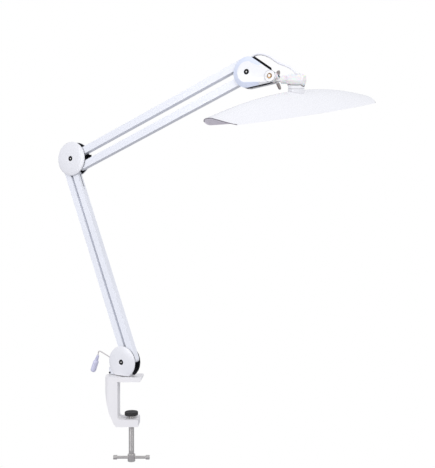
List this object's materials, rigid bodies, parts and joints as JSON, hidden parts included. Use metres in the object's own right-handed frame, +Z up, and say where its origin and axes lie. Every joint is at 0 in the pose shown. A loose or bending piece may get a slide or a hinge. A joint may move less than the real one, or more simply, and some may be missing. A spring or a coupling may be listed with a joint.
{
  "type": "swing arm desk lamp",
  "caption": "Clamp-on desk lamp with two parallel-bar swing arms, round joint discs and a long arched shade on a tilting, turning head.",
  "frame": {"origin": "underside of the clamp's upper jaw, straight below the axis of the base swivel", "axes": "+Z up, +X from the table's edge over the table, +Y along the table's edge"},
  "size_m": [0.662, 0.4191, 0.8166],
  "materials": {
    "white_paint": "satin",
    "black_paint": "satin",
    "steel": "brushed",
    "brass": "satin",
    "bronze": "satin",
    "white_plastic": "gloss",
    "clear_white_plastic": "gloss, slightly see-through",
    "shade_plastic": "gloss",
    "diffuser_plastic": "opal",
    "board": "solder mask",
    "grey_plastic": "satin",
    "black_plastic": "satin",
    "black_rubber": "matte",
    "grey_cable": "satin"
  },
  "bodies": {
    "clamp": {"clamp_frame": "white_paint"},
    "screw": {"clamp_screw": "steel", "clamp_handle": "steel", "clamp_pad": "black_rubber"},
    "base": {"base_bracket": "white_paint", "base_washer": "black_paint", "base_lock_screw": "black_paint", "base_plate_front": "black_paint", "base_plate_rear": "black_paint", "base_cover_front": "white_plastic", "base_cover_rear": "white_plastic", "base_bolt": "brass", "base_nut": "steel", "base_pin_left": "steel", "base_pin_right": "steel", "lead_grommet": "black_plastic", "dc_lead": "grey_cable", "dc_connector": "grey_plastic"},
    "lower_bar_left": {"lower_bar_left": "white_paint", "lower_spring": "steel"},
    "lower_bar_right": {"lower_bar_right": "white_paint", "lower_cable": "grey_cable"},
    "elbow": {"elbow_plate_front": "black_paint", "elbow_plate_rear": "black_paint", "elbow_cover_front": "white_plastic", "elbow_cover_rear": "white_plastic", "elbow_bolt": "brass", "elbow_nut": "steel", "elbow_pin_lower_left": "steel", "elbow_pin_lower_right": "steel", "elbow_pin_upper_top": "steel", "elbow_pin_upper_bottom": "steel"},
    "upper_bar_top": {"upper_bar_top": "white_paint", "upper_cable": "grey_cable"},
    "upper_bar_bottom": {"upper_bar_bottom": "white_paint", "upper_spring": "steel"},
    "head": {"head_plate_front": "black_paint", "head_plate_rear": "black_paint", "head_cover_front": "white_plastic", "head_cover_rear": "white_plastic", "head_bolt": "brass", "head_nut": "steel", "head_pin_top": "steel", "head_pin_bottom": "steel", "tilt_bolt": "bronze", "tilt_washer": "brass", "head_cable_grip": "black_plastic", "head_cable": "grey_cable"},
    "wing_nut": {"wing_nut": "steel"},
    "knuckle": {"knuckle_tube": "white_plastic", "knuckle_barrel": "clear_white_plastic", "knuckle_cable_gland": "black_plastic"},
    "saddle": {"neck_saddle": "white_plastic"},
    "shade": {"shade_shell": "shade_plastic", "shade_neck": "white_plastic", "lamp_tray": "white_plastic", "led_board": "board", "diffuser": "diffuser_plastic"},
    "switch": {"switch_button": "grey_plastic"}
  },
  "joints": [
    {"name": "clamp_screw", "type": "slide", "parent": "clamp", "child": "screw", "axis": [0, 0, 1], "range_m": [0, 0.056]},
    {"name": "base_swivel", "type": "hinge", "parent": "clamp", "child": "base", "pos_m": [0, 0, 0.0395], "axis": [0, 0, 1], "range_deg": [-150, 150]},
    {"name": "lower_arm", "type": "hinge", "parent": "base", "child": "lower_bar_left", "pos_m": [0.00227, -0.00127, 0.0522], "axis": [0.4879, 0.8729, 0], "range_deg": [-15, 70]},
    {"name": "lower_arm_right_bar", "type": "hinge", "parent": "base", "child": "lower_bar_right", "pos_m": [0.02252, -0.01259, 0.0466], "axis": [0.4879, 0.8729, 0], "range_deg": [-15, 70]},
    {"name": "elbow_level", "type": "hinge", "parent": "lower_bar_left", "child": "elbow", "pos_m": [-0.13536, 0.07565, 0.45337], "axis": [0.4879, 0.8729, 0], "range_deg": [-70, 15]},
    {"name": "upper_arm", "type": "hinge", "parent": "elbow", "child": "upper_bar_top", "pos_m": [-0.09909, 0.05538, 0.48187], "axis": [0.4879, 0.8729, 0], "range_deg": [-38, 60]},
    {"name": "upper_arm_bottom_bar", "type": "hinge", "parent": "elbow", "child": "upper_bar_bottom", "pos_m": [-0.09909, 0.05538, 0.45067], "axis": [0.4879, 0.8729, 0], "range_deg": [-38, 60]},
    {"name": "head_level", "type": "hinge", "parent": "upper_bar_top", "child": "head", "pos_m": [0.24501, -0.13693, 0.63131], "axis": [0.4879, 0.8729, 0], "range_deg": [-60, 38]},
    {"name": "head_tilt", "type": "hinge", "parent": "head", "child": "knuckle", "pos_m": [0.2966, -0.16576, 0.59801], "axis": [0.4879, 0.8729, 0], "range_deg": [-50, 30], "deforming": ["head_cable"]},
    {"name": "wing_nut", "type": "hinge", "parent": "head", "child": "wing_nut", "pos_m": [0.2966, -0.16576, 0.59801], "axis": [0.4879, 0.8729, 0], "continuous": true},
    {"name": "shade_roll", "type": "hinge", "parent": "knuckle", "child": "saddle", "pos_m": [0.33773, -0.18875, 0.58796], "axis": [0.8663, -0.4842, -0.1227], "range_deg": [-30, 30]},
    {"name": "shade_turn", "type": "hinge", "parent": "saddle", "child": "shade", "pos_m": [0.33803, -0.18482, 0.57452], "axis": [-0.021, -0.2809, 0.9595], "range_deg": [-50, 45]},
    {"name": "switch_button", "type": "slide", "parent": "shade", "child": "switch", "axis": [-0.021, -0.2809, 0.9595], "range_m": [0, 0.0015], "stiffness_N_per_m": 600, "springref_m": -0.001}
  ],
  "couplings": [
    {"joint": "lower_arm_right_bar", "follows": "lower_arm", "ratio": 1},
    {"joint": "elbow_level", "follows": "lower_arm", "ratio": -1},
    {"joint": "upper_arm_bottom_bar", "follows": "upper_arm", "ratio": 1},
    {"joint": "head_level", "follows": "upper_arm", "ratio": -1}
  ]
}
